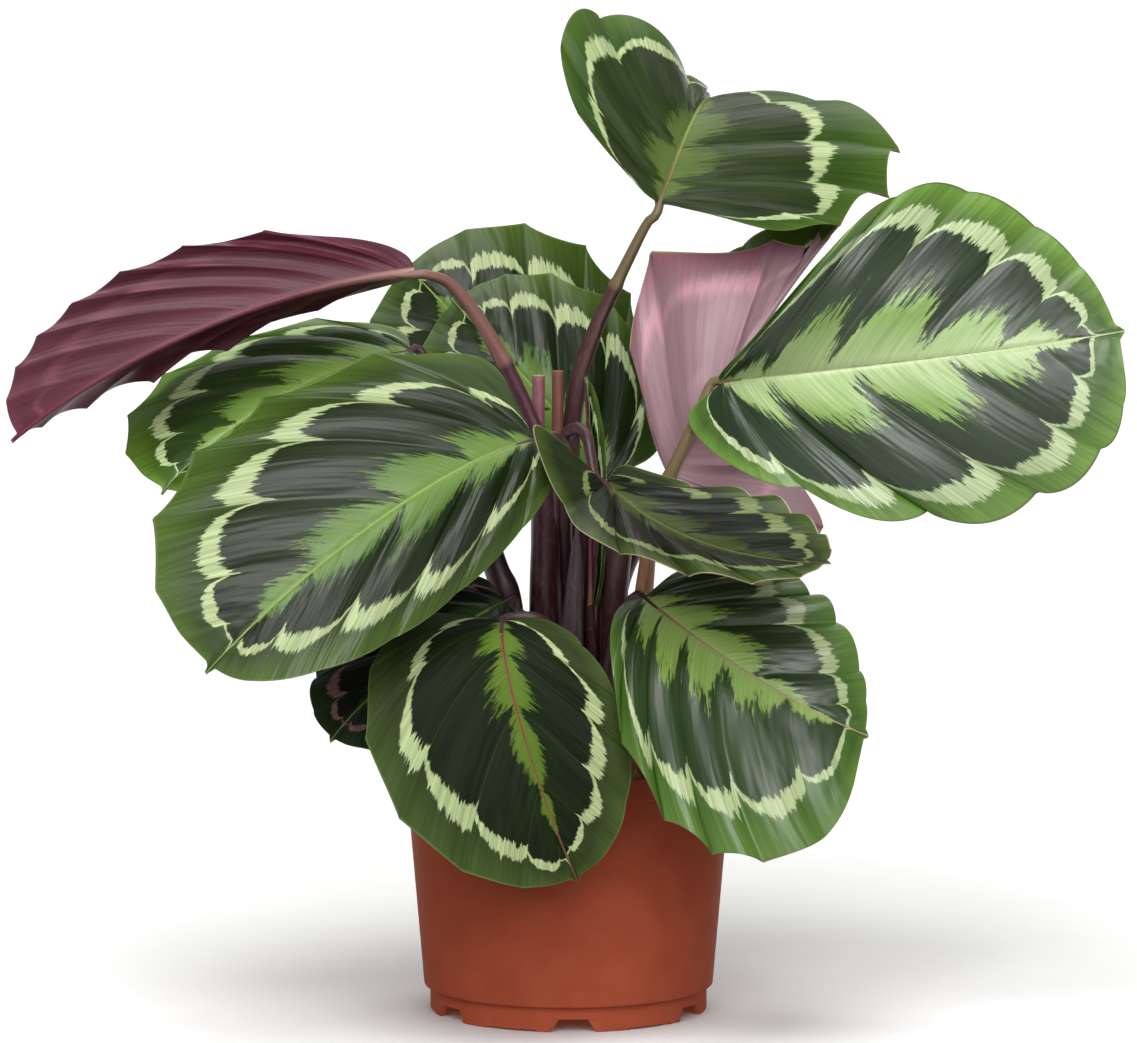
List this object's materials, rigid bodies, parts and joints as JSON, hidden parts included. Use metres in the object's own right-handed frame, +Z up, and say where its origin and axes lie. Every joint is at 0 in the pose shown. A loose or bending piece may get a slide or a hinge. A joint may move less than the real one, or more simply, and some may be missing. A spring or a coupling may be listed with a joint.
{
  "type": "potted calathea plant",
  "caption": "Potted foliage plant: broad oval leaves with a pale ring and feathered midrib on slender stalks, rising from soil in a plain tapered nursery pot.",
  "frame": {"origin": "on the surface the pot stands on, at the pot's axis, which is also the middle of the plant's spread", "axes": "+Z up along the pot's axis, +X along the longer spread of the leaves, -Y towards the side that most leaves face"},
  "size_m": [0.4572, 0.2639, 0.4196],
  "materials": {
    "pot_plastic": "matte",
    "potting_soil": "matte",
    "leaf_blade": "satin",
    "leaf_stalk": "satin",
    "cut_stalk": "matte"
  },
  "bodies": {
    "root": {"pot": "pot_plastic", "soil": "potting_soil", "leaf_far_left": "leaf_blade", "leaf_rear_left": "leaf_blade", "leaf_front_left": "leaf_blade", "leaf_front_low": "leaf_blade", "leaf_low_right": "leaf_blade", "leaf_front_right": "leaf_blade", "leaf_far_right": "leaf_blade", "leaf_rear_right": "leaf_blade", "leaf_top": "leaf_blade", "leaf_back_tall": "leaf_blade", "leaf_back_short": "leaf_blade", "leaf_low_left": "leaf_blade", "leaf_young": "leaf_blade", "stalk_far_left": "leaf_stalk", "stalk_rear_left": "leaf_stalk", "stalk_front_left": "leaf_stalk", "stalk_front_low": "leaf_stalk", "stalk_low_right": "leaf_stalk", "stalk_front_right": "leaf_stalk", "stalk_far_right": "leaf_stalk", "stalk_rear_right": "leaf_stalk", "stalk_top": "leaf_stalk", "stalk_back_tall": "leaf_stalk", "stalk_back_short": "leaf_stalk", "stalk_low_left": "leaf_stalk", "stalk_young": "leaf_stalk", "sheath_spear": "leaf_stalk", "stub_left": "cut_stalk", "stub_right": "cut_stalk", "stub_low": "cut_stalk"}
  },
  "joints": []
}
